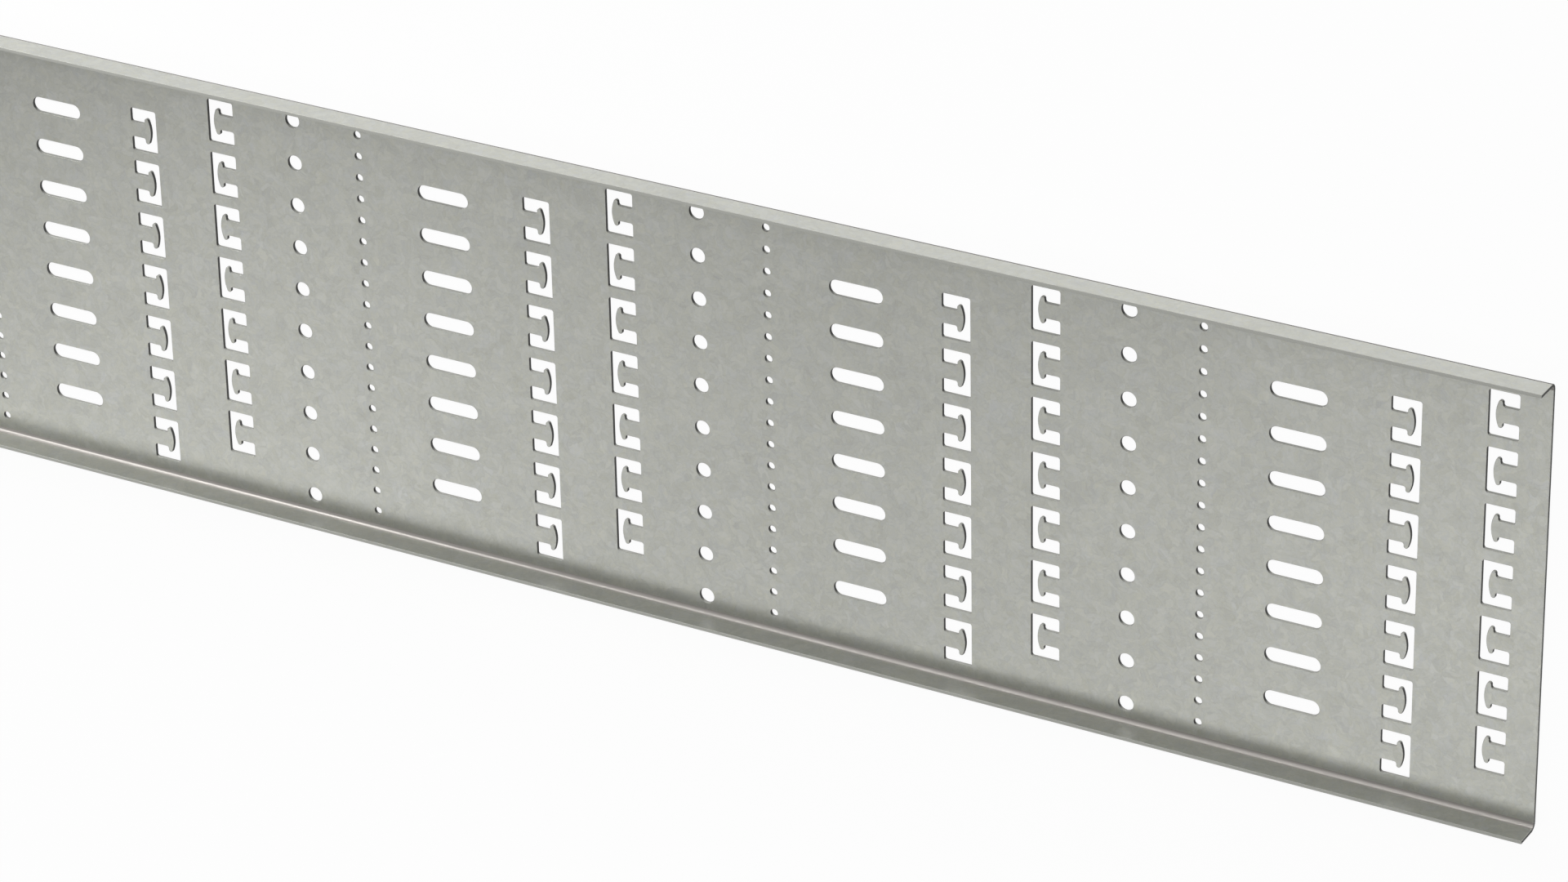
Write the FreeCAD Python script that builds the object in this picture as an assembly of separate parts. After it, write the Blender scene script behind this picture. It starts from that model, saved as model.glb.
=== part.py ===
import FreeCAD, Part

import math
import os

# A shallow channel of galvanised sheet, punched all over its web and bent up along both
# edges. It lies on the back of its web: X runs along the channel, Y across it and Z up its
# flanges, with the origin in the middle of the back face. All sizes are in millimetres.

# Section
channel_width = 200.0
flange_depth = 13.75
sheet_thickness = 1.5
bend_inner_radius = 2.0

# Length: the punching repeats in modules, and stock is cut between two of them
module_count = 5
end_margin = 13.75
clamp_to_screw_column = 33.0
screw_to_slot_column = 42.0
slot_to_tab_column = 46.5
tab_column_pitch = 41.0

# Round holes for clamps, in one column of each module
clamp_hole_diameter = 7.0
clamp_row_pitch = 20.0

# Small round holes for screws, in one column of each module
screw_hole_diameter = 3.5
screw_row_pitch = 10.0

# Long slots with round ends, in one column of each module
slot_length = 25.0
slot_width = 7.0
slot_row_pitch = 20.0

# Hammer-head tabs for cable ties, left standing in windows, in two columns of each module
neck_width = 7.0
neck_length = 7.0
head_shoulder = 2.5
head_thickness = 3.05
head_tip_radius = 1.0
head_end_gap = 2.95
head_side_gap = 4.0
window_bridge = 5.0

# Plain web kept beside the outermost row of each pattern
hole_edge_clearance = 2.5
slot_edge_clearance = 20.0

# The web has hundreds of cut-outs. The corner ones of each pattern, which fix the channel,
# are true rounds, and the rest have this many flat sides, to keep the sheet light
wide_cut_sides = 10
small_cut_sides = 8
head_tip_sides = 3
head_bow_sides = 3

# Sizes that follow
bend_outer_radius = bend_inner_radius + sheet_thickness
flat_web_width = channel_width - 2 * bend_outer_radius
head_width = neck_width + 2 * head_shoulder
window_length = neck_length + head_thickness + head_end_gap
window_width = head_width + 2 * head_side_gap
tab_row_pitch = window_width + window_bridge
tab_row_shift = tab_row_pitch / 4

# Columns, measured from the start of a module
clamp_column = end_margin + clamp_hole_diameter / 2
screw_column = clamp_column + clamp_to_screw_column
slot_column = screw_column + screw_to_slot_column
near_tab_column = slot_column + slot_to_tab_column
far_tab_column = near_tab_column + tab_column_pitch
module_length = far_tab_column + window_length / 2 + end_margin
channel_length = module_count * module_length

# The cutters run past both faces of the web by this much
overrun = 1.0


def rounded_path(points, radius):
    """Edges through the points in turn, with every corner between them rounded."""
    edges = []
    start = points[0]
    for before, corner, after in zip(points, points[1:], points[2:]):
        back = (before - corner).normalize()
        ahead = (after - corner).normalize()
        half_angle = back.getAngle(ahead) / 2
        inward = (back + ahead).normalize()
        setback = radius / math.tan(half_angle)
        centre = corner + inward * (radius / math.sin(half_angle))
        arc_start = corner + back * setback
        arc_end = corner + ahead * setback
        edges.append(Part.LineSegment(start, arc_start).toShape())
        edges.append(Part.Arc(arc_start, centre - inward * radius, arc_end).toShape())
        start = arc_end
    edges.append(Part.LineSegment(start, points[-1]).toShape())
    return edges


def across(y, z):
    """A point of the section, at the near end of the channel."""
    return FreeCAD.Vector(-channel_length / 2, y, z)


def bent_side(half_width, floor, radius):
    """One side of the bent sheet: down a flange, along the web and up the other."""
    corners = [
        across(half_width, flange_depth),
        across(half_width, floor),
        across(-half_width, floor),
        across(-half_width, flange_depth),
    ]
    return rounded_path(corners, radius)


def bent_sheet():
    """The channel before it is punched."""
    outer_half = channel_width / 2
    inner_half = outer_half - sheet_thickness
    edges = bent_side(outer_half, 0, bend_outer_radius)
    edges += bent_side(inner_half, sheet_thickness, bend_inner_radius)
    for side in (1, -1):
        outer_tip = across(side * outer_half, flange_depth)
        inner_tip = across(side * inner_half, flange_depth)
        edges.append(Part.LineSegment(outer_tip, inner_tip).toShape())
    section = Part.Face(Part.Wire(Part.sortEdges(edges)[0]))
    return section.extrude(FreeCAD.Vector(channel_length, 0, 0))


def punch(wire):
    """A cutter of the outline's shape, right through the web."""
    wire.translate(FreeCAD.Vector(0, 0, -overrun))
    return Part.Face(wire).extrude(FreeCAD.Vector(0, 0, sheet_thickness + 2 * overrun))


def polygon_punch(points):
    """A cutter whose outline is the closed polygon through the points."""
    return punch(Part.makePolygon(points + points[:1]))


def turn_points(centre, radius, start_angle, end_angle, sides):
    """Points at equal steps round part of a circle, both ends included."""
    step = (end_angle - start_angle) / sides
    angles = [start_angle + step * index for index in range(sides + 1)]
    return [centre + FreeCAD.Vector(math.cos(angle), math.sin(angle), 0) * radius for angle in angles]


def true_slot_punch(length, width):
    """The cutter of a slot along the channel, or of a round hole where the length is the width."""
    radius = width / 2
    reach = length / 2 - radius
    if reach == 0:
        circle = Part.Circle(FreeCAD.Vector(0, 0, 0), FreeCAD.Vector(0, 0, 1), radius)
        return punch(Part.Wire(circle.toShape()))
    edges = []
    for side in (1, -1):
        start = FreeCAD.Vector(side * reach, side * radius, 0)
        end = FreeCAD.Vector(side * reach, -side * radius, 0)
        next_start = FreeCAD.Vector(-side * reach, -side * radius, 0)
        edges.append(Part.Arc(start, FreeCAD.Vector(side * length / 2, 0, 0), end).toShape())
        edges.append(Part.LineSegment(end, next_start).toShape())
    return punch(Part.Wire(edges))


def sided_slot_punch(length, width, sides):
    """The same cutter with flat sides, which all touch the true outline from outside."""
    half_step = math.pi / sides
    corner_radius = width / 2 / math.cos(half_step)
    points = []
    for side in (1, -1):
        middle = math.pi / 2 * (1 - side)
        sweep = math.pi / 2 - half_step
        centre = FreeCAD.Vector(side * (length - width) / 2, 0, 0)
        points += turn_points(centre, corner_radius, middle - sweep, middle + sweep, sides // 2 - 1)
    return polygon_punch(points)


def tab_punch():
    """The cutter of a window, centred on it, whose tab grows from the low-X side."""
    root = -window_length / 2
    head_back = root + neck_length
    tip_centre = FreeCAD.Vector(head_back + head_tip_radius, head_width / 2 - head_tip_radius, 0)
    # The bowed edge is one arc that touches the rounds of both tips
    reach = head_thickness - head_tip_radius
    bow_radius = (reach**2 + tip_centre.y**2 - head_tip_radius**2) / (2 * (reach - head_tip_radius))
    bow_centre = FreeCAD.Vector(head_back + head_thickness - bow_radius, 0, 0)
    touch_angle = math.atan2(tip_centre.y, tip_centre.x - bow_centre.x)
    upper = [
        FreeCAD.Vector(window_length / 2, window_width / 2, 0),
        FreeCAD.Vector(root, window_width / 2, 0),
        FreeCAD.Vector(root, neck_width / 2, 0),
        FreeCAD.Vector(head_back, neck_width / 2, 0),
    ]
    upper += turn_points(tip_centre, head_tip_radius, math.pi, touch_angle, head_tip_sides)
    bow = turn_points(bow_centre, bow_radius, touch_angle, -touch_angle, head_bow_sides)
    lower = [FreeCAD.Vector(point.x, -point.y, 0) for point in reversed(upper)]
    return polygon_punch(upper + bow[1:-1] + lower)


def row_places(pitch, cut_width, clearance):
    """The rows of a pattern that fit side by side on the flat web, centred on it."""
    room = flat_web_width - cut_width - 2 * clearance
    count = 1 + math.floor(room / pitch)
    first = -(count - 1) * pitch / 2
    return [first + row * pitch for row in range(count)]


def slot_column_cutters(column, length, width, sides, pitch, clearance):
    """A column of slots or round holes in every module, its four outermost ones true."""
    true_cutter = true_slot_punch(length, width)
    sided_cutter = sided_slot_punch(length, width, sides)
    rows = row_places(pitch, width, clearance)
    cutters = []
    for module in range(module_count):
        x = module * module_length + column
        for row in rows:
            fixes = module in (0, module_count - 1) and row in (rows[0], rows[-1])
            cutter = true_cutter if fixes else sided_cutter
            cutters.append(cutter.translated(FreeCAD.Vector(x, row, 0)))
    return cutters


def tab_column_cutters(column, half_turns):
    """A column of tab windows in every module, turned about and shifted along the row."""
    cutter = tab_punch()
    cutter.rotate(FreeCAD.Vector(0, 0, 0), FreeCAD.Vector(0, 0, 1), 180 * half_turns)
    shift = tab_row_shift if half_turns else -tab_row_shift
    rows = row_places(tab_row_pitch, window_width + 2 * tab_row_shift, hole_edge_clearance)
    cutters = []
    for module in range(module_count):
        x = module * module_length + column
        cutters += [cutter.translated(FreeCAD.Vector(x, row + shift, 0)) for row in rows]
    return cutters


def mounting_channel():
    """The finished channel: the bent sheet with every module punched."""
    cutters = slot_column_cutters(
        clamp_column, clamp_hole_diameter, clamp_hole_diameter,
        wide_cut_sides, clamp_row_pitch, hole_edge_clearance,
    )
    cutters += slot_column_cutters(
        screw_column, screw_hole_diameter, screw_hole_diameter,
        small_cut_sides, screw_row_pitch, hole_edge_clearance,
    )
    cutters += slot_column_cutters(
        slot_column, slot_length, slot_width,
        wide_cut_sides, slot_row_pitch, slot_edge_clearance,
    )
    cutters += tab_column_cutters(near_tab_column, 0)
    cutters += tab_column_cutters(far_tab_column, 1)
    punching = Part.makeCompound(cutters)
    punching.translate(FreeCAD.Vector(-channel_length / 2, 0, 0))
    return bent_sheet().cut(punching).Solids[0]


os.makedirs("parts", exist_ok=True)
channel = mounting_channel()
channel.exportStep("parts/mounting_channel.step")
print("mounting_channel valid", channel.isValid(), "volume", round(channel.Volume, 1))
print("length", round(channel.BoundBox.XLength, 3), "width", round(channel.BoundBox.YLength, 3))
print("depth", round(channel.BoundBox.ZLength, 3), "faces", len(channel.Faces))
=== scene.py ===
"""Dresses the punched mounting channel: its smooth sheet, its zinc finish and the studio.

The channel lies on the back of its web. X runs along it, Y across it and Z up its flanges,
in metres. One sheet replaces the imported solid: the same web, bends and flanges, with true
round cut-outs whose rims are rolled over by the punch.
"""

from __future__ import annotations

import logging
import math
from dataclasses import dataclass, field
from enum import Enum
from typing import Any

import bmesh
import bpy
from mathutils import Matrix, Vector

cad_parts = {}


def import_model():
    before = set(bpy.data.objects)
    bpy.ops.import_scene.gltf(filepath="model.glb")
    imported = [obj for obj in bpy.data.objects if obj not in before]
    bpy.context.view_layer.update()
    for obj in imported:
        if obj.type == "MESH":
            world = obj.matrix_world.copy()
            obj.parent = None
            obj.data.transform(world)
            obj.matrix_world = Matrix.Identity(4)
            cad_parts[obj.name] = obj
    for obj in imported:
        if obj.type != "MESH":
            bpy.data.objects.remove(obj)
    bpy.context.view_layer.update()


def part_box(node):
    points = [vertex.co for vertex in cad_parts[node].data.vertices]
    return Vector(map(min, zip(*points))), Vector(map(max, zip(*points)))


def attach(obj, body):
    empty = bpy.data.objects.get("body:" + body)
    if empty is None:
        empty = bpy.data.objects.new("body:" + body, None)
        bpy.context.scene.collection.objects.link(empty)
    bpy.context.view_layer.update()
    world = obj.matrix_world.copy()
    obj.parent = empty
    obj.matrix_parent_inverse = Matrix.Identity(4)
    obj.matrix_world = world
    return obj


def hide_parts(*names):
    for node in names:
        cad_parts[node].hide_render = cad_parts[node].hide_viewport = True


LOG = logging.getLogger("mounting_channel")
CAD_NODE = "mounting_channel"
BODY = "root"
MM = 0.001
MERGE_DISTANCE = 0.002 * MM
FLAT_NORMAL = 0.99999
UPRIGHT_NORMAL = 0.5
Point = tuple[float, float]
Grey = tuple[float, float, float]
Place = tuple[float, float, float]
Colour = tuple[float, float, float, float]


class CutKind(Enum):
    """The kinds of cut-out in the web, each in a column of its own."""

    CLAMP_HOLE = "clamp_hole"
    SCREW_HOLE = "screw_hole"
    SLOT = "slot"
    NEAR_TAB = "near_tab"
    FAR_TAB = "far_tab"


class Surface(Enum):
    """The finishes of the sheet, by material slot."""

    ZINC = 0
    CUT = 1
    BEND = 2
    SLIT = 3


class WebSide(Enum):
    """The web's two faces, by how the height of their edges compares with half the thickness."""

    FRONT = "GREATER_THAN"
    BACK = "LESS_THAN"


def turn_points(centre: Point, radius: float, start: float, end: float, sides: int) -> list[Point]:
    """Points at equal steps round part of a circle.

    Args:
        centre: The circle's centre.
        radius: Its radius.
        start: The first point's angle, in radians.
        end: The last point's angle, in radians.
        sides: How many straight sides the stretch has.

    Returns:
        The points, both ends included.
    """
    angles = [start + (end - start) * index / sides for index in range(sides + 1)]
    return [(centre[0] + radius * math.cos(a), centre[1] + radius * math.sin(a)) for a in angles]


def inset(ring: list[Point], distance: float) -> list[Point]:
    """A closed ring moved to its left by a distance, so that a ring drawn leftwards shrinks.

    Args:
        ring: The ring's points in order.
        distance: How far each side moves.

    Returns:
        The moved points, one for each point given.
    """
    moved = []
    for index, here in enumerate(ring):
        before = Vector(ring[index - 1])
        after = Vector(ring[(index + 1) % len(ring)])
        middle = Vector(here)
        sides = [(middle - before).normalized(), (after - middle).normalized()]
        normals = [Vector((-side.y, side.x)) for side in sides]
        lean = (normals[0] + normals[1]).normalized()
        place = middle + lean * distance / lean.dot(normals[0])
        moved.append((place.x, place.y))
    return moved


@dataclass(frozen=True)
class Tab:
    """The hammer-head tab and the window that it stands in, with the tab's root at low X."""

    neck_width: float = 7.0 * MM
    neck_length: float = 7.0 * MM
    head_shoulder: float = 2.5 * MM
    head_thickness: float = 3.05 * MM
    tip_radius: float = 1.0 * MM
    end_gap: float = 2.95 * MM
    side_gap: float = 4.0 * MM
    corner_radius: float = 1.0 * MM
    bridge: float = 5.0 * MM
    corner_sides: int = 5
    tip_sides: int = 8
    bow_sides: int = 8

    @property
    def head_width(self) -> float:
        """The head's size across the channel."""
        return self.neck_width + 2 * self.head_shoulder

    @property
    def window_length(self) -> float:
        """The window's size along the channel."""
        return self.neck_length + self.head_thickness + self.end_gap

    @property
    def window_width(self) -> float:
        """The window's size across the channel."""
        return self.head_width + 2 * self.side_gap

    def outline(self) -> list[Point]:
        """The window's edge, anticlockwise, centred on the window.

        Returns:
            The ring's points.
        """
        root = -self.window_length / 2
        head_back = root + self.neck_length
        far = self.window_length / 2
        top = self.window_width / 2
        neck = self.neck_width / 2
        round_ = self.corner_radius
        tip = (head_back + self.tip_radius, self.head_width / 2 - self.tip_radius)
        reach = self.head_thickness - self.tip_radius
        bow = (reach**2 + tip[1] ** 2 - self.tip_radius**2) / (2 * (reach - self.tip_radius))
        bow_centre = (head_back + self.head_thickness - bow, 0.0)
        touch = math.atan2(tip[1], tip[0] - bow_centre[0])
        quarter = math.pi / 2
        corners = [
            ((far - round_, top - round_), 0),
            ((root + round_, top - round_), 1),
            ((root + round_, neck + round_), 2),
            ((head_back - round_, neck + round_), 3),
        ]
        upper: list[Point] = []
        for centre, turns in corners:
            start = turns * quarter
            upper += turn_points(centre, round_, start, start + quarter, self.corner_sides)
        upper += turn_points(tip, self.tip_radius, math.pi, touch, self.tip_sides)
        middle = turn_points(bow_centre, bow, touch, -touch, self.bow_sides)[1:-1]
        lower = [(x, -y) for x, y in reversed(upper)]
        return upper + middle + lower


@dataclass(frozen=True)
class Slot:
    """A slot along the channel, or a round hole where its length is its width."""

    length: float
    width: float
    end_sides: int

    def outline(self) -> list[Point]:
        """The slot's edge, anticlockwise, centred on it.

        Returns:
            The ring's points.
        """
        radius = self.width / 2
        reach = self.length / 2 - radius
        ring: list[Point] = []
        for side, start in ((1, -math.pi / 2), (-1, math.pi / 2)):
            end = turn_points((side * reach, 0.0), radius, start, start + math.pi, self.end_sides)
            ring += end if reach > 0 else end[:-1]
        return ring


@dataclass(frozen=True)
class Column:
    """One column of like cut-outs, repeated in every module."""

    kind: CutKind
    place: float
    rows: int
    pitch: float
    shift: float
    half_turns: int
    outline: list[Point]


@dataclass(frozen=True)
class Punching:
    """Where the cut-outs lie on the web, as distances within one module."""

    modules: int = 5
    end_margin: float = 13.75 * MM
    clamp_to_screw: float = 33.0 * MM
    screw_to_slot: float = 42.0 * MM
    slot_to_tab: float = 46.5 * MM
    tab_to_tab: float = 41.0 * MM
    clamp_hole: Slot = Slot(7.0 * MM, 7.0 * MM, 20)
    screw_hole: Slot = Slot(3.5 * MM, 3.5 * MM, 14)
    slot: Slot = Slot(25.0 * MM, 7.0 * MM, 18)
    tab: Tab = Tab()
    clamp_rows: int = 10
    screw_rows: int = 19
    slot_rows: int = 8
    tab_rows: int = 7
    wide_pitch: float = 20.0 * MM
    screw_pitch: float = 10.0 * MM

    def columns(self) -> list[Column]:
        """Every column of one module, in order along the channel.

        Returns:
            The columns, with their places measured from the module's start.
        """
        tab_pitch = self.tab.window_width + self.tab.bridge
        window = self.tab.outline()
        clamp = self.end_margin + self.clamp_hole.width / 2
        screw = clamp + self.clamp_to_screw
        slot = screw + self.screw_to_slot
        near = slot + self.slot_to_tab
        far = near + self.tab_to_tab
        shift = tab_pitch / 4
        clamp_edge = self.clamp_hole.outline()
        screw_edge = self.screw_hole.outline()
        slot_edge = self.slot.outline()
        return [
            Column(CutKind.CLAMP_HOLE, clamp, self.clamp_rows, self.wide_pitch, 0.0, 0, clamp_edge),
            Column(CutKind.SCREW_HOLE, screw, self.screw_rows, self.screw_pitch, 0.0, 0, screw_edge),
            Column(CutKind.SLOT, slot, self.slot_rows, self.wide_pitch, 0.0, 0, slot_edge),
            Column(CutKind.NEAR_TAB, near, self.tab_rows, tab_pitch, -shift, 0, window),
            Column(CutKind.FAR_TAB, far, self.tab_rows, tab_pitch, shift, 1, window),
        ]


@dataclass(frozen=True)
class Section:
    """The bent sheet's section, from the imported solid's box and the sheet's own sizes."""

    length: float
    width: float
    depth: float
    thickness: float = 1.5 * MM
    inner_radius: float = 2.0 * MM
    rollover: float = 0.2 * MM
    burr: float = 0.08 * MM
    edge_round: float = 0.15 * MM
    bend_sides: int = 12
    edge_sides: int = 2

    @property
    def outer_radius(self) -> float:
        """The bend's outer radius."""
        return self.inner_radius + self.thickness

    @property
    def flat_half(self) -> float:
        """Half the width of the web between its bends."""
        return self.width / 2 - self.outer_radius

    def ring(self) -> list[tuple[Point, Surface | None]]:
        """The section's edge, anticlockwise as seen from high X, in Y and Z.

        Returns:
            Each point, and the finish of the side that starts there, or None for the flat of the web.
        """
        quarter = math.pi / 2
        half = self.width / 2
        inner = half - self.thickness
        bend = (self.flat_half, self.outer_radius)
        tip = self.depth - self.edge_round
        outer_tip = (half - self.edge_round, tip)
        inner_tip = (inner + self.edge_round, tip)
        arcs = [
            (turn_points(bend, self.outer_radius, -quarter, 0.0, self.bend_sides), Surface.BEND),
            (turn_points(outer_tip, self.edge_round, 0.0, quarter, self.edge_sides), Surface.SLIT),
            (turn_points(inner_tip, self.edge_round, quarter, math.pi, self.edge_sides), Surface.SLIT),
            (turn_points(bend, self.inner_radius, 0.0, -quarter, self.bend_sides), Surface.BEND),
        ]
        after = [Surface.ZINC, Surface.SLIT, Surface.ZINC, None]
        right = []
        for (points, finish), leaving in zip(arcs, after):
            right += [(point, finish) for point in points[:-1]]
            right.append((points[-1], leaving))
        left = [((-y, z), None) for (y, z), _ in reversed(right)]
        finishes = [finish for _, finish in reversed(right)][1:] + [None]
        return right + [(point, finish) for (point, _), finish in zip(left, finishes)]


class NodeSketch:
    """A short way to write a node tree: each call adds one node and links its inputs."""

    def __init__(self, tree: bpy.types.NodeTree) -> None:
        """Starts on a tree, which may be a shader's or a geometry tree."""
        self.tree = tree
        self.column = 0

    def node(self, kind: str, inputs: dict[Any, Any] | None = None, **settings: Any) -> bpy.types.Node:
        """Adds a node.

        Args:
            kind: The node's type name.
            inputs: Values or output sockets for the inputs, by name or number.
            settings: Properties of the node itself.

        Returns:
            The node.
        """
        made = self.tree.nodes.new(kind)
        made.location = (200 * self.column, 0)
        self.column += 1
        for name, value in settings.items():
            setattr(made, name, value)
        for key, value in (inputs or {}).items():
            values = value if isinstance(value, list) else [value]
            for one in values:
                if isinstance(one, bpy.types.NodeSocket):
                    self.tree.links.new(one, made.inputs[key])
                else:
                    made.inputs[key].default_value = one
        return made

    def math(self, operation: str, *values: Any) -> bpy.types.NodeSocket:
        """The result of a sum, product or other operation on numbers or sockets."""
        inputs = dict(enumerate(values))
        return self.node("ShaderNodeMath", inputs, operation=operation).outputs[0]

    def vector(self, operation: str, *values: Any) -> bpy.types.NodeSocket:
        """The result of an operation on vectors or sockets."""
        inputs = dict(enumerate(values))
        return self.node("ShaderNodeVectorMath", inputs, operation=operation).outputs[0]

    def scaled(self, vector: Any, factor: Any) -> bpy.types.NodeSocket:
        """A vector or colour times a number."""
        inputs = {0: vector, "Scale": factor}
        return self.node("ShaderNodeVectorMath", inputs, operation="SCALE").outputs[0]

    def mix(self, share: Any, first: Any, second: Any) -> bpy.types.NodeSocket:
        """A colour between two others."""
        inputs = {0: share, 6: first, 7: second}
        return self.node("ShaderNodeMix", inputs, data_type="RGBA").outputs[2]

    def span(self, value: Any, taken: Point, given: Point) -> bpy.types.NodeSocket:
        """A number carried from one range to another, and held at its ends."""
        inputs = dict(enumerate((value, *taken, *given)))
        return self.node("ShaderNodeMapRange", inputs).outputs[0]

    def noise(self, place: Any, size: float, detail: float) -> bpy.types.NodeSocket:
        """Cloudy noise between 0 and 1, with swirls of about the size."""
        inputs = {"Vector": place, "Scale": 1 / size, "Detail": detail}
        return self.node("ShaderNodeTexNoise", inputs).outputs["Fac"]

    def cells(self, place: Any, size: float) -> bpy.types.bpy_prop_collection:
        """Three random numbers for each cell of a broken pattern, as Red, Green and Blue."""
        colour = self.node("ShaderNodeTexVoronoi", {"Vector": place, "Scale": 1 / size}).outputs["Color"]
        return self.node("ShaderNodeSeparateColor", {0: colour}).outputs

    def total(self, shares: list[tuple[bpy.types.NodeSocket, float]]) -> bpy.types.NodeSocket:
        """Several numbers, each times its share, added up.

        Args:
            shares: The numbers with their shares.

        Returns:
            The socket of the sum.
        """
        whole: Any = 0.0
        for value, share in shares:
            whole = self.node(
                "ShaderNodeMath", {0: value, 1: share, 2: whole}, operation="MULTIPLY_ADD"
            ).outputs[0]
        return whole


class PunchedWeb:
    """The flat of the web with all its cut-outs, repeated by a geometry tree."""

    def __init__(self, section: Section, punching: Punching) -> None:
        """Takes the sizes.

        Args:
            section: The bent sheet's section.
            punching: The places of its cut-outs.
        """
        self.section = section
        self.punching = punching
        self.module = section.length / punching.modules

    def rim_stations(self) -> list[Point]:
        """The rim's own section, from the web's front face to its back.

        Returns:
            How far each ring stands back from the cut, and its height.
        """
        quarter = math.pi / 2
        front = self.section.rollover
        top = self.section.thickness
        stations = turn_points((front, top - front), front, quarter, 2 * quarter, self.section.edge_sides)
        burr = self.section.burr
        return stations + [(0.0, burr), (burr, 0.0)]

    def rim(self, column: Column) -> bpy.types.Object:
        """The wall and rolled rim of one cut-out, centred on it.

        Args:
            column: The column that the cut-out is for.

        Returns:
            A helper object, which is removed once the web is made.
        """
        mesh = bpy.data.meshes.new(f"rim_{column.kind.value}")
        stations = self.rim_stations()
        rings = [inset(column.outline, -back) for back, _ in stations]
        vertices = [
            (x, y, height) for ring, (_, height) in zip(rings, stations) for x, y in ring
        ]
        count = len(column.outline)
        faces = []
        for level in range(len(stations) - 1):
            for index in range(count):
                ahead = (index + 1) % count
                upper, lower = level * count, (level + 1) * count
                faces.append((upper + index, upper + ahead, lower + ahead, lower + index))
        mesh.from_pydata(vertices, [], faces)
        mesh.shade_smooth()
        helper = bpy.data.objects.new(mesh.name, mesh)
        bpy.context.scene.collection.objects.link(helper)
        return helper

    def column_tree(self) -> bpy.types.NodeTree:
        """The tree that repeats one rim over the rows and modules of its column.

        Returns:
            The tree, with a named input for each size.
        """
        tree = bpy.data.node_groups.new("punch_column", "GeometryNodeTree")
        face = tree.interface
        face.new_socket("Rim", in_out="INPUT", socket_type="NodeSocketObject")
        for name in ("Modules", "Rows"):
            face.new_socket(name, in_out="INPUT", socket_type="NodeSocketInt")
        for name in ("Module Length", "Row Pitch", "Place", "Shift", "Turn"):
            face.new_socket(name, in_out="INPUT", socket_type="NodeSocketFloat")
        face.new_socket("Rims", in_out="OUTPUT", socket_type="NodeSocketGeometry")
        sketch = NodeSketch(tree)
        given = sketch.node("NodeGroupInput").outputs
        steps = sketch.math("SUBTRACT", given["Modules"], 1.0)
        span = sketch.math("MULTIPLY", steps, given["Module Length"])
        row_steps = sketch.math("SUBTRACT", given["Rows"], 1.0)
        rise = sketch.math("MULTIPLY", row_steps, given["Row Pitch"])
        grid = sketch.node(
            "GeometryNodeMeshGrid",
            {"Size X": span, "Size Y": rise, "Vertices X": given["Modules"], "Vertices Y": given["Rows"]},
        )
        half_module = sketch.math("MULTIPLY", given["Module Length"], 0.5)
        place = sketch.node(
            "ShaderNodeCombineXYZ",
            {"X": sketch.math("SUBTRACT", given["Place"], half_module), "Y": given["Shift"]},
        )
        moved = sketch.node(
            "GeometryNodeTransform", {"Geometry": grid.outputs["Mesh"], "Translation": place.outputs[0]}
        )
        rim = sketch.node("GeometryNodeObjectInfo", {"Object": given["Rim"]})
        turn = sketch.node("ShaderNodeCombineXYZ", {"Z": given["Turn"]})
        placed = sketch.node(
            "GeometryNodeInstanceOnPoints",
            {
                "Points": moved.outputs[0],
                "Instance": rim.outputs["Geometry"],
                "Rotation": turn.outputs[0],
            },
        )
        sketch.node("NodeGroupOutput", {"Rims": placed.outputs[0]})
        return tree

    def tree(
        self, columns: list[Column], zinc: bpy.types.Material, cut: bpy.types.Material
    ) -> bpy.types.NodeTree:
        """The tree that makes the whole web: rims, then both faces filled between them.

        Args:
            columns: The columns of cut-outs.
            zinc: The finish of the faces.
            cut: The finish of the walls.

        Returns:
            The tree, with a named input for each size.
        """
        tree = bpy.data.node_groups.new("punched_web", "GeometryNodeTree")
        face = tree.interface
        for name in ("Length", "Width", "Thickness", "Module Length"):
            face.new_socket(name, in_out="INPUT", socket_type="NodeSocketFloat")
        face.new_socket("Modules", in_out="INPUT", socket_type="NodeSocketInt")
        for column in columns:
            label = column.kind.value
            face.new_socket(f"{label} Rim", in_out="INPUT", socket_type="NodeSocketObject")
            face.new_socket(f"{label} Rows", in_out="INPUT", socket_type="NodeSocketInt")
            for name in ("Row Pitch", "Place", "Shift", "Turn"):
                face.new_socket(f"{label} {name}", in_out="INPUT", socket_type="NodeSocketFloat")
        face.new_socket("Web", in_out="OUTPUT", socket_type="NodeSocketGeometry")
        sketch = NodeSketch(tree)
        given = sketch.node("NodeGroupInput").outputs
        column_tree = self.column_tree()
        placed = []
        for column in columns:
            names = ("Rim", "Rows", "Row Pitch", "Place", "Shift", "Turn")
            inputs = {name: given[f"{column.kind.value} {name}"] for name in names}
            inputs |= {"Modules": given["Modules"], "Module Length": given["Module Length"]}
            made = sketch.tree.nodes.new("GeometryNodeGroup")
            made.node_tree = column_tree
            for name, socket in inputs.items():
                tree.links.new(socket, made.inputs[name])
            placed.append(made.outputs[0])
        gathered = sketch.node("GeometryNodeJoinGeometry", {0: placed}).outputs[0]
        rims = sketch.node("GeometryNodeRealizeInstances", {0: gathered}).outputs[0]
        up = sketch.node("ShaderNodeCombineXYZ", {"Z": given["Thickness"]})
        front_face = self.filled_face(sketch, rims, given, WebSide.FRONT)
        front = sketch.node("GeometryNodeTransform", {"Geometry": front_face, "Translation": up.outputs[0]})
        back_face = self.filled_face(sketch, rims, given, WebSide.BACK)
        back = sketch.node("GeometryNodeFlipFaces", {0: back_face})
        whole = sketch.node(
            "GeometryNodeJoinGeometry", {0: [rims, front.outputs[0], back.outputs[0]]}
        ).outputs[0]
        merged = sketch.node("GeometryNodeMergeByDistance", {"Geometry": whole, "Distance": MERGE_DISTANCE})
        coated = sketch.node("GeometryNodeSetMaterial", {"Geometry": merged.outputs[0], "Material": zinc})
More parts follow.
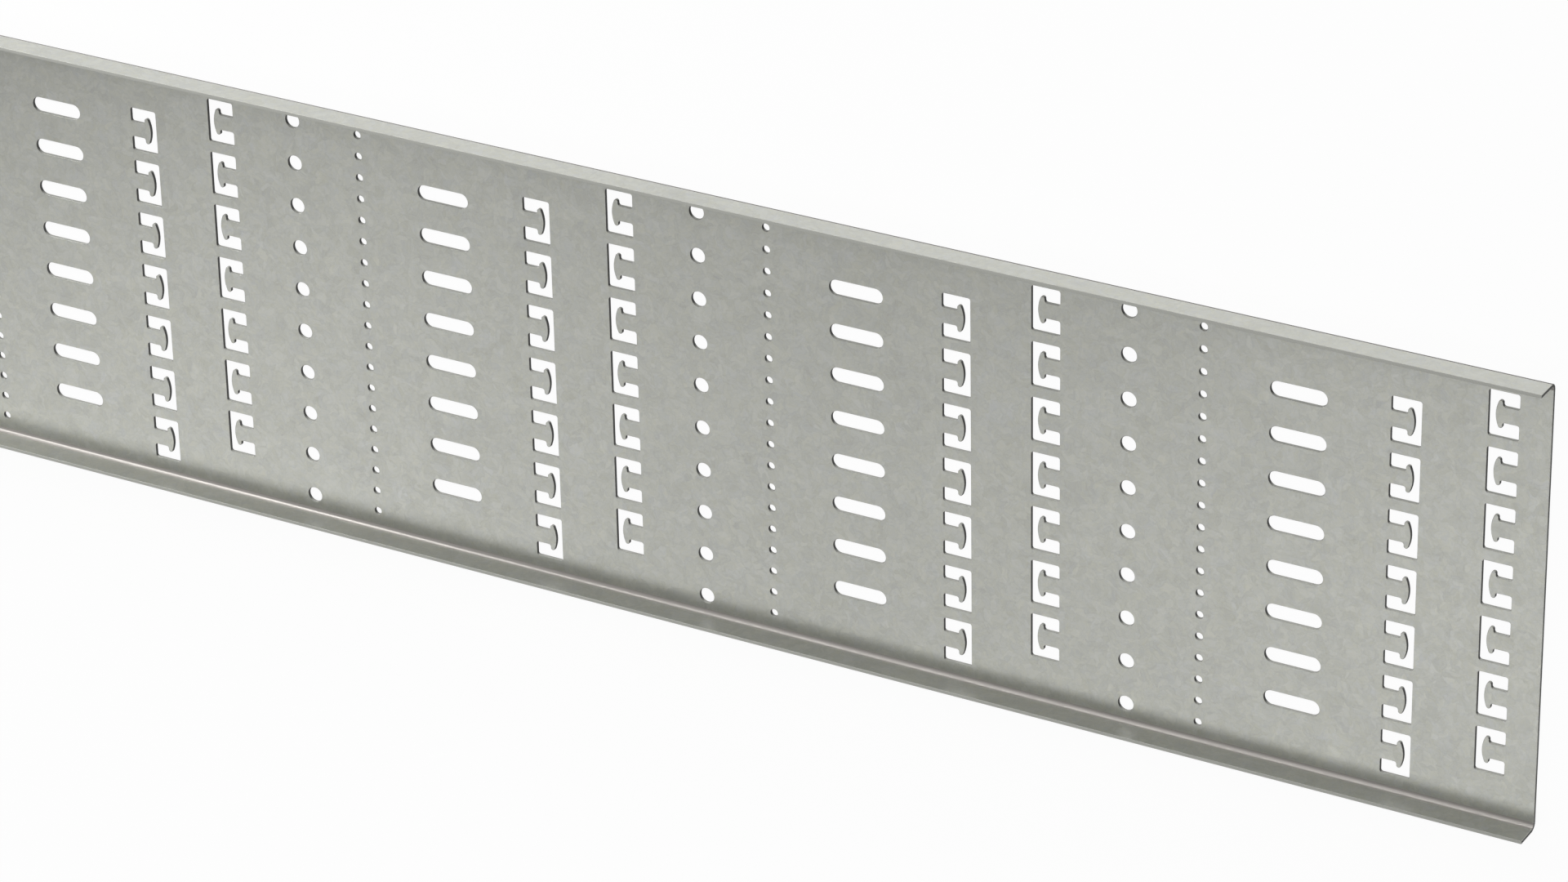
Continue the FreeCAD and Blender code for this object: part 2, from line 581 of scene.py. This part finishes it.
        normal = sketch.node("GeometryNodeInputNormal").outputs[0]
        up_part = sketch.node("ShaderNodeSeparateXYZ", {0: normal}).outputs["Z"]
        upright = sketch.math("LESS_THAN", sketch.math("ABSOLUTE", up_part), UPRIGHT_NORMAL)
        walled = sketch.node(
            "GeometryNodeSetMaterial", {"Geometry": coated.outputs[0], "Selection": upright, "Material": cut}
        )
        sketch.node("NodeGroupOutput", {0: walled.outputs[0]})
        return tree

    def filled_face(
        self,
        sketch: NodeSketch,
        rims: bpy.types.NodeSocket,
        given: bpy.types.bpy_prop_collection,
        side: WebSide,
    ) -> bpy.types.NodeSocket:
        """One face of the web, filled between its outline and the rims' edges on that side.

        Args:
            sketch: The tree being written.
            rims: The rims of all the cut-outs.
            given: The tree's inputs.
            side: Which face it is.

        Returns:
            The socket of the filled face, which lies at height zero and faces up.
        """
        neighbours = sketch.node("GeometryNodeInputMeshEdgeNeighbors").outputs[0]
        open_edge = sketch.math("LESS_THAN", neighbours, 2.0)
        place = sketch.node("GeometryNodeInputPosition").outputs[0]
        height = sketch.node("ShaderNodeSeparateXYZ", {0: place}).outputs["Z"]
        half = sketch.math("MULTIPLY", given["Thickness"], 0.5)
        side_edge = sketch.math("MULTIPLY", open_edge, sketch.math(side.value, height, half))
        loops = sketch.node("GeometryNodeMeshToCurve", {"Mesh": rims, "Selection": side_edge})
        border = sketch.node(
            "GeometryNodeCurvePrimitiveQuadrilateral", {"Width": given["Length"], "Height": given["Width"]}
        )
        curves = sketch.node("GeometryNodeJoinGeometry", {0: [loops.outputs[0], border.outputs[0]]})
        filled = sketch.node("GeometryNodeFillCurve", {"Curve": curves.outputs[0]})
        return sketch.node(
            "GeometryNodeSetShadeSmooth", {"Geometry": filled.outputs[0], "Shade Smooth": False}
        ).outputs[0]

    def mesh(self, zinc: bpy.types.Material, cut: bpy.types.Material) -> bpy.types.Mesh:
        """Runs the tree and gives the web as a plain mesh.

        Args:
            zinc: The finish of the faces.
            cut: The finish of the walls.

        Returns:
            The mesh, with no instances left.
        """
        columns = self.punching.columns()
        rims = [self.rim(column) for column in columns]
        host = bpy.data.objects.new("web_host", bpy.data.meshes.new("web_host"))
        bpy.context.scene.collection.objects.link(host)
        modifier = host.modifiers.new("punching", "NODES")
        modifier.node_group = self.tree(columns, zinc, cut)
        values: dict[str, Any] = {
            "Length": self.section.length - 2 * self.section.edge_round,
            "Width": 2 * self.section.flat_half,
            "Thickness": self.section.thickness,
            "Module Length": self.module,
            "Modules": self.punching.modules,
        }
        for column, rim in zip(columns, rims):
            label = column.kind.value
            values |= {
                f"{label} Rim": rim,
                f"{label} Rows": column.rows,
                f"{label} Row Pitch": column.pitch,
                f"{label} Place": column.place,
                f"{label} Shift": column.shift,
                f"{label} Turn": column.half_turns * math.pi,
            }
        for item in modifier.node_group.interface.items_tree:
            if item.in_out == "INPUT":
                modifier[item.identifier] = values[item.name]
        bpy.context.view_layer.update()
        evaluated = host.evaluated_get(bpy.context.evaluated_depsgraph_get())
        made = bpy.data.meshes.new_from_object(evaluated)
        for helper in [host, *rims]:
            bpy.data.objects.remove(helper)
        return made


class BentSheet:
    """The whole sheet: bends, flanges and ends round the punched web, in one mesh."""

    def __init__(self, section: Section, punching: Punching) -> None:
        """Takes the sizes of the sheet and of its punching."""
        self.section = section
        self.web = PunchedWeb(section, punching)

    def stations(self) -> list[Point]:
        """Where the section is drawn along the channel.

        Returns:
            Each place along X, and how far the section shrinks there, so that the ends' edges are round.
        """
        edge = self.section.edge_round
        end = turn_points((0.0, edge), edge, -math.pi / 2, -math.pi, self.section.edge_sides)
        near = [(-self.section.length / 2 + along, edge + back) for back, along in end]
        return near + [(-x, shrink) for x, shrink in reversed(near)]

    def add_shell(self, made: bmesh.types.BMesh) -> None:
        """Adds the bends, flanges and ends to a mesh.

        Args:
            made: The mesh that is being built, which already holds the web.
        """
        ring = self.section.ring()
        points = [point for point, _ in ring]
        stations = self.stations()
        loops = []
        for x, shrink in stations:
            loops.append([made.verts.new((x, y, z)) for y, z in inset(points, shrink)])
        count = len(points)
        middle = len(stations) // 2 - 1
        for level in range(len(stations) - 1):
            for index in range(count):
                finish = ring[index][1]
                if level == middle and finish is None:
                    continue
                ahead = (index + 1) % count
                here, beyond = loops[level], loops[level + 1]
                face = made.faces.new((here[index], here[ahead], beyond[ahead], beyond[index]))
                face.smooth = True
                face.material_index = (finish or Surface.ZINC).value
        for loop in (loops[0], loops[-1]):
            cap = made.faces.new(loop)
            cap.material_index = Surface.CUT.value

    def build(self, finishes: dict[Surface, bpy.types.Material]) -> bpy.types.Object:
        """Makes the sheet.

        Args:
            finishes: The material of each surface.

        Returns:
            The finished object, at the origin.
        """
        zinc = finishes[Surface.ZINC]
        cut = finishes[Surface.CUT]
        web = self.web.mesh(zinc, cut)
        slots = [material.name if material else zinc.name for material in web.materials]
        made = bmesh.new()
        made.from_mesh(web)
        wanted = {zinc.name: Surface.ZINC.value, cut.name: Surface.CUT.value}
        for face in made.faces:
            face.material_index = wanted[slots[face.material_index]]
        self.add_shell(made)
        bmesh.ops.remove_doubles(made, verts=made.verts, dist=MERGE_DISTANCE)
        bmesh.ops.recalc_face_normals(made, faces=made.faces)
        for face in made.faces:
            if max(abs(part) for part in face.normal) > FLAT_NORMAL:
                face.smooth = False
        loose = [edge for edge in made.edges if len(edge.link_faces) != 2]
        LOG.info("sheet: %d faces, %d edges without two faces", len(made.faces), len(loose))
        mesh = bpy.data.meshes.new("channel_sheet")
        made.to_mesh(mesh)
        made.free()
        bpy.data.meshes.remove(web)
        for surface in Surface:
            mesh.materials.append(finishes[surface])
        sheet = bpy.data.objects.new("channel_sheet", mesh)
        bpy.context.scene.collection.objects.link(sheet)
        return sheet


def new_material(name: str) -> tuple[bpy.types.Material, NodeSketch, bpy.types.Node]:
    """A node material with its shader ready to be fed.

    Args:
        name: The material's name.

    Returns:
        The material, a sketch of its tree, and its shader.
    """
    material = bpy.data.materials.new(name)
    material.use_nodes = True
    tree = material.node_tree
    tree.nodes.clear()
    sketch = NodeSketch(tree)
    shader = sketch.node("ShaderNodeBsdfPrincipled")
    sketch.node("ShaderNodeOutputMaterial", {"Surface": shader.outputs["BSDF"]})
    return material, sketch, shader


@dataclass(frozen=True)
class ZincFinish:
    """Zinc coating with a soft spangle: ragged crystals, some warmer and some cooler, with a painted
    highlight that lightens faces turned outward or downward.
    """

    grey: Grey = (0.402, 0.406, 0.374)
    crystal_size: float = 6.0 * MM
    fleck_size: float = 3.2 * MM
    chip_size: float = 1.4 * MM
    seam_width: float = 0.12
    sway_size: float = 9.0 * MM
    sway_reach: float = 11.0 * MM
    fray_size: float = 2.0 * MM
    fray_reach: float = 2.4 * MM
    cloud_size: float = 28.0 * MM
    streak_length: float = 45.0 * MM
    streak_width: float = 0.7 * MM
    grain_size: float = 0.7 * MM
    tint_size: float = 1.6 * MM
    pale_from: float = 0.88
    flange_from: Point = (96.5 * MM, 98.5 * MM)
    pale_blend: float = 0.02
    web_streak: float = 0.25
    crystal_tone: float = 0.040
    fleck_tone: float = 0.095
    chip_tone: float = 0.060
    pale_tone: float = 0.012
    cloud_tone: float = 0.050
    streak_tone: float = 0.100
    grain_tone: float = 0.090
    seam_tone: float = -0.048
    middle_tone: float = 0.18
    crystal_warmth: float = 0.12
    fleck_warmth: float = 0.22
    chip_warmth: float = 0.30
    tint_warmth: float = 0.90
    pale_warmth: float = -0.15
    middle_warmth: float = 0.27
    warm_tint: Grey = (1.018, 1.008, 0.945)
    cool_tint: Grey = (0.982, 0.994, 1.058)
    # Painted highlight on faces turned outward from the channel or downward: where it starts and is full,
    # and how much lighter.
    painted_highlight_from: Point = (0.4, 0.8)
    painted_highlight_gain: float = 0.28
    roughness: float = 0.40
    roughness_spread: float = 0.012
    metallic: float = 0.85

    def moved(
        self, sketch: NodeSketch, place: bpy.types.NodeSocket, size: float, reach: float
    ) -> bpy.types.NodeSocket:
        """A place pushed about by noise, so that what is drawn there gets ragged edges.

        Args:
            sketch: The tree being written.
            place: The place.
            size: The size of the noise's swirls.
            reach: How far the noise may push, from end to end.

        Returns:
            The pushed place.
        """
        noise = sketch.node("ShaderNodeTexNoise", {"Vector": place, "Scale": 1 / size, "Detail": 2.0})
        push = sketch.vector("SUBTRACT", noise.outputs["Color"], (0.5, 0.5, 0.5))
        return sketch.vector("ADD", place, sketch.scaled(push, reach))

    def material(self) -> bpy.types.Material:
        """Builds the coating.

        Returns:
            The material.
        """
        material, sketch, shader = new_material("zinc_coating")
        place = sketch.node("ShaderNodeTexCoord").outputs["Object"]
        swayed = self.moved(sketch, place, self.sway_size, self.sway_reach)
        frayed = self.moved(sketch, swayed, self.fray_size, self.fray_reach)
        crystal = sketch.cells(frayed, self.crystal_size)
        fleck = sketch.cells(frayed, self.fleck_size)
        chip = sketch.cells(frayed, self.chip_size)
        pale = sketch.span(crystal["Blue"], (self.pale_from, self.pale_from + self.pale_blend), (0.0, 1.0))
        seam = sketch.node(
            "ShaderNodeTexVoronoi",
            {"Vector": frayed, "Scale": 1 / self.fleck_size},
            feature="DISTANCE_TO_EDGE",
        ).outputs["Distance"]
        seam_line = sketch.span(seam, (0.0, self.seam_width), (1.0, 0.0))
        cloud = sketch.noise(place, self.cloud_size, 3.0)
        grain = sketch.noise(place, self.grain_size, 2.0)
        drawn = sketch.vector(
            "MULTIPLY", place, (1 / self.streak_length, 1 / self.streak_width, 1 / self.streak_width)
        )
        parts = sketch.node("ShaderNodeSeparateXYZ", {0: place}).outputs
        flange = sketch.span(sketch.math("ABSOLUTE", parts["Y"]), self.flange_from, (self.web_streak, 1.0))
        facing = sketch.node(
            "ShaderNodeSeparateXYZ", {0: sketch.node("ShaderNodeNewGeometry").outputs["Normal"]}
        ).outputs
        # Painted highlight: the flanges' outer faces and the web's back get a lighter base colour, by up to
        # the gain, as if lit.
        outward = sketch.math("MULTIPLY", facing["Y"], sketch.math("SIGN", parts["Y"]))
        under = sketch.math("MULTIPLY", facing["Z"], -1.0)
        painted_highlight = sketch.span(sketch.math("MAXIMUM", outward, under), self.painted_highlight_from, (0.0, 1.0))
        streak = sketch.math("MULTIPLY", sketch.noise(drawn, 1.0, 2.0), flange)
        tone = sketch.total(
            [
                (crystal["Red"], self.crystal_tone),
                (fleck["Red"], self.fleck_tone),
                (chip["Red"], self.chip_tone),
                (pale, self.pale_tone),
                (cloud, self.cloud_tone),
                (streak, self.streak_tone),
                (grain, self.grain_tone),
                (seam_line, self.seam_tone),
                (painted_highlight, self.painted_highlight_gain),
            ]
        )
        level = sketch.math("ADD", tone, 1.0 - self.middle_tone)
        tint = sketch.noise(place, self.tint_size, 2.0)
        warmth = sketch.total(
            [
                (crystal["Green"], self.crystal_warmth),
                (fleck["Green"], self.fleck_warmth),
                (chip["Green"], self.chip_warmth),
                (tint, self.tint_warmth),
                (pale, self.pale_warmth),
            ]
        )
        warmth = sketch.math("SUBTRACT", warmth, self.middle_warmth)
        cool = tuple(grey * tint for grey, tint in zip(self.grey, self.cool_tint)) + (1.0,)
        warm = tuple(grey * tint for grey, tint in zip(self.grey, self.warm_tint)) + (1.0,)
        colour = sketch.scaled(sketch.mix(warmth, cool, warm), level)
        sketch.tree.links.new(colour, shader.inputs["Base Color"])
        shader.inputs["Metallic"].default_value = self.metallic
        spread = (self.roughness - self.roughness_spread, self.roughness + self.roughness_spread)
        rough = sketch.span(fleck["Blue"], (0.0, 1.0), spread)
        sketch.tree.links.new(rough, shader.inputs["Roughness"])
        return material


@dataclass(frozen=True)
class CutFinish:
    """Sheared edges of dark steel, shaded or lit by facing: painted shade darkens walls across the channel,
    a painted highlight lightens walls along it.
    """

    # Dark cut steel with painted shade, for walls across the channel; a painted highlight copy, lighter and
    # more metallic, for walls along it.
    dark_steel_and_shade: Colour = (0.100, 0.100, 0.096, 1.0)
    painted_lit_steel: Colour = (0.360, 0.362, 0.336, 1.0)
    painted_lit_from: Point = (0.55, 0.92)
    painted_lit_metallic: float = 0.8
    roughness: float = 0.6
    gloss: float = 0.1
    grain_size: float = 0.6 * MM
    grain_range: Point = (0.85, 1.15)

    def material(self) -> bpy.types.Material:
        """Builds the cut edge.

        Returns:
            The material.
        """
        material, sketch, shader = new_material("cut_steel")
        place = sketch.node("ShaderNodeTexCoord").outputs["Object"]
        facing = sketch.node(
            "ShaderNodeSeparateXYZ", {0: sketch.node("ShaderNodeNewGeometry").outputs["Normal"]}
        ).outputs["Y"]
        # How far a wall faces along Y: 0 takes the painted-shade dark colour, 1 the painted highlight copy.
        along = sketch.span(sketch.math("ABSOLUTE", facing), self.painted_lit_from, (0.0, 1.0))
        level = sketch.span(sketch.noise(place, self.grain_size, 2.0), (0.0, 1.0), self.grain_range)
        colour = sketch.scaled(sketch.mix(along, self.dark_steel_and_shade, self.painted_lit_steel), level)
        sketch.tree.links.new(colour, shader.inputs["Base Color"])
        metallic = sketch.math("MULTIPLY", along, self.painted_lit_metallic)
        sketch.tree.links.new(metallic, shader.inputs["Metallic"])
        shader.inputs["Specular IOR Level"].default_value = self.gloss
        shader.inputs["Roughness"].default_value = self.roughness
        return material


@dataclass(frozen=True)
class BendFinish:
    """The bends, with no spangle: warm and worn smooth inside; outside, a painted shade line along the bend,
    with a lighter underside below it.
    """

    grey: Grey = (0.330, 0.314, 0.296)
    # Painted shade line on the outside of the bend: where it starts, where it gives way to the lighter
    # underside, and its share of the grey.
    shade_line_from: Point = (-0.15, -0.02)
    shade_line_to: Point = (-0.65, -0.45)
    shade_line_share: float = 0.25
    under_share: float = 1.4
    roughness: float = 0.25
    metallic: float = 0.35
    gloss: float = 0.2
    streak_length: float = 60.0 * MM
    streak_width: float = 0.35 * MM
    streak_from: Point = (0.2, 0.8)
    streak_range: Point = (0.95, 1.05)

    def material(self) -> bpy.types.Material:
        """Builds the bend coating.

        Returns:
            The material.
        """
        material, sketch, shader = new_material("bend_zinc")
        place = sketch.node("ShaderNodeTexCoord").outputs["Object"]
        across = 1 / self.streak_width
        drawn = sketch.vector("MULTIPLY", place, (1 / self.streak_length, across, across))
        streak = sketch.span(sketch.noise(drawn, 1.0, 2.0), self.streak_from, self.streak_range)
        facing = sketch.node(
            "ShaderNodeSeparateXYZ", {0: sketch.node("ShaderNodeNewGeometry").outputs["Normal"]}
        ).outputs["Z"]
        # Painted shade: a dark line where the outside of the bend starts to turn under; further down, the
        # underside is lighter, at under_share of the grey.
        shade_line = sketch.span(facing, self.shade_line_from, (self.shade_line_share, 1.0))
        under = sketch.span(facing, self.shade_line_to, (self.under_share - self.shade_line_share, 0.0))
        level = sketch.math("MULTIPLY", streak, sketch.math("ADD", shade_line, under))
        sketch.tree.links.new(sketch.scaled(self.grey, level), shader.inputs["Base Color"])
        shader.inputs["Metallic"].default_value = self.metallic
        shader.inputs["Specular IOR Level"].default_value = self.gloss
        shader.inputs["Roughness"].default_value = self.roughness
        return material


@dataclass(frozen=True)
class SlitFinish:
    """The flanges' tips, slit before coating: pale, with the shear's slanting marks."""

    grey: Grey = (0.42, 0.424, 0.391)
    mark_pitch: float = 1.3 * MM
    mark_slant: float = 0.9
    mark_depth: float = 0.025
    mark_drift: float = 4.0 * MM
    roughness: float = 0.65
    metallic: float = 0.4

    def material(self) -> bpy.types.Material:
        """Builds the slit edge.

        Returns:
            The material.
        """
        material, sketch, shader = new_material("slit_zinc")
        place = sketch.node("ShaderNodeTexCoord").outputs["Object"]
        parts = sketch.node("ShaderNodeSeparateXYZ", {0: place}).outputs
        along = sketch.math("MULTIPLY_ADD", parts["Y"], self.mark_slant, parts["X"])
        drift = sketch.noise(place, self.mark_drift, 1.0)
        uneven = sketch.math("MULTIPLY_ADD", drift, self.mark_pitch, along)
        wave = sketch.math("SINE", sketch.math("MULTIPLY", uneven, math.tau / self.mark_pitch))
        level = sketch.math("MULTIPLY_ADD", wave, self.mark_depth, 1.0)
        sketch.tree.links.new(sketch.scaled(self.grey, level), shader.inputs["Base Color"])
        shader.inputs["Metallic"].default_value = self.metallic
        shader.inputs["Roughness"].default_value = self.roughness
        return material


@dataclass(frozen=True)
class Lamp:
    """A soft rectangular lamp: its place and size in metres and its power in watts."""

    name: str
    place: Place
    size: Point
    power: float


@dataclass
class Studio:
    """The floor, lamps, world and camera."""

    aim: Vector = field(default_factory=lambda: Vector((0.268, 0.0207, 0.00075)))
    distance: float = 2.366
    turn: float = math.radians(27.73)
    rise: float = math.radians(27.0)
    lens: float = 133.45
    shift: Point = (-0.151, -0.0018)
    floor_glow: float = 0.95
    floor_half: float = 40.0
    floor_drop: float = 0.05 * MM
    floor_colour: Colour = (0.8, 0.8, 0.8, 1.0)
    floor_roughness: float = 0.9
    floor_gloss: float = 0.1
    world_level: float = 0.35
    lit: Vector = field(default_factory=lambda: Vector((0.13, 0.0, 0.0)))
    lamps: tuple[Lamp, ...] = (
        Lamp("left_lamp", (-0.9, -0.8, 1.0), (0.6, 0.7), 2.45),
        Lamp("middle_lamp", (-0.1, -0.8, 1.25), (0.6, 0.5), 1.7),
        Lamp("right_lamp", (0.35, -0.5, 1.15), (0.5, 0.5), 1.05),
        Lamp("back_lamp", (0.2, 1.1, 1.2), (1.6, 0.8), 6.9),
        Lamp("near_strip", (-0.7, 0.5, 0.3), (0.6, 0.3), 3.6),
        Lamp("bend_strip", (-0.1, 1.3, 0.22), (2.3, 0.12), 12.0),
    )

    def camera(self) -> bpy.types.Object:
        """The camera, at the photo's angle: the channel's Y is up in the picture.

        Returns:
            The camera.
        """
        level = math.cos(self.rise)
        back = Vector((math.sin(self.turn) * level, math.sin(self.rise), math.cos(self.turn) * level))
        right = Vector((0, 1, 0)).cross(back).normalized()
        up = back.cross(right)
        data = bpy.data.cameras.new("camera")
        data.lens = self.lens
        data.shift_x, data.shift_y = self.shift
        data.sensor_width = 36.0
        camera = bpy.data.objects.new("camera", data)
        bpy.context.scene.collection.objects.link(camera)
        turned = Matrix((right, up, back)).transposed().to_4x4()
        camera.matrix_world = Matrix.Translation(self.aim + back * self.distance) @ turned
        bpy.context.scene.camera = camera
        return camera

    def floor(self) -> bpy.types.Object:
        """A plain pale floor under the channel.

        Returns:
            The floor.
        """
        mesh = bpy.data.meshes.new("floor")
        half = self.floor_half
        corners = [(-half, -half), (half, -half), (half, half), (-half, half)]
        mesh.from_pydata([(x, y, -self.floor_drop) for x, y in corners], [], [(0, 1, 2, 3)])
        floor = bpy.data.objects.new("floor", mesh)
        bpy.context.scene.collection.objects.link(floor)
        material, sketch, shader = new_material("floor_paper")
        shader.inputs["Base Color"].default_value = self.floor_colour
        shader.inputs["Roughness"].default_value = self.floor_roughness
        shader.inputs["Specular IOR Level"].default_value = self.floor_gloss
        path = sketch.node("ShaderNodeLightPath").outputs
        mirrored = sketch.math("MAXIMUM", path["Is Glossy Ray"], path["Is Transmission Ray"])
        seen = sketch.math("MULTIPLY", path["Is Camera Ray"], self.floor_glow)
        white = sketch.node("ShaderNodeEmission", {"Color": (1, 1, 1, 1), "Strength": 1.0})
        mix = sketch.node(
            "ShaderNodeMixShader",
            {0: sketch.math("MAXIMUM", mirrored, seen), 1: shader.outputs[0], 2: white.outputs[0]},
        )
        output = next(n for n in sketch.tree.nodes if n.type == "OUTPUT_MATERIAL")
        sketch.tree.links.new(mix.outputs[0], output.inputs["Surface"])
        floor.data.materials.append(material)
        return floor

    def hang(self, lamp: Lamp) -> bpy.types.Object:
        """Hangs a lamp, turned towards the middle of what the picture shows.

        Args:
            lamp: The lamp to hang.

        Returns:
            The lamp's object.
        """
        data = bpy.data.lights.new(lamp.name, "AREA")
        data.shape = "RECTANGLE"
        data.size, data.size_y = lamp.size
        data.energy = lamp.power
        hung = bpy.data.objects.new(lamp.name, data)
        hung.location = lamp.place
        hung.rotation_euler = (self.lit - hung.location).to_track_quat("-Z", "Y").to_euler()
        bpy.context.scene.collection.objects.link(hung)
        return hung

    def world(self) -> None:
        """A plain, even surround."""
        world = bpy.data.worlds.new("studio")
        bpy.context.scene.world = world
        world.use_nodes = True
        back = world.node_tree.nodes["Background"]
        back.inputs["Color"].default_value = (1, 1, 1, 1)
        back.inputs["Strength"].default_value = self.world_level

    def build(self) -> None:
        """Puts up the whole studio."""
        self.camera()
        self.floor()
        self.world()
        for lamp in self.lamps:
            self.hang(lamp)
        bpy.context.scene.view_settings.view_transform = "Standard"


def main() -> None:
    """Builds and dresses the channel, then the studio."""
    logging.basicConfig(level=logging.INFO, format="%(message)s")
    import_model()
    low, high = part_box(CAD_NODE)
    size = high - low
    section = Section(length=size.x, width=size.y, depth=size.z)
    finishes = {
        Surface.ZINC: ZincFinish().material(),
        Surface.CUT: CutFinish().material(),
        Surface.BEND: BendFinish().material(),
        Surface.SLIT: SlitFinish().material(),
    }
    sheet = BentSheet(section, Punching()).build(finishes)
    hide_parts(CAD_NODE)
    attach(sheet, BODY)
    LOG.info("piece: %s", sheet.name)
    Studio().build()


if __name__ == "__main__":
    main()
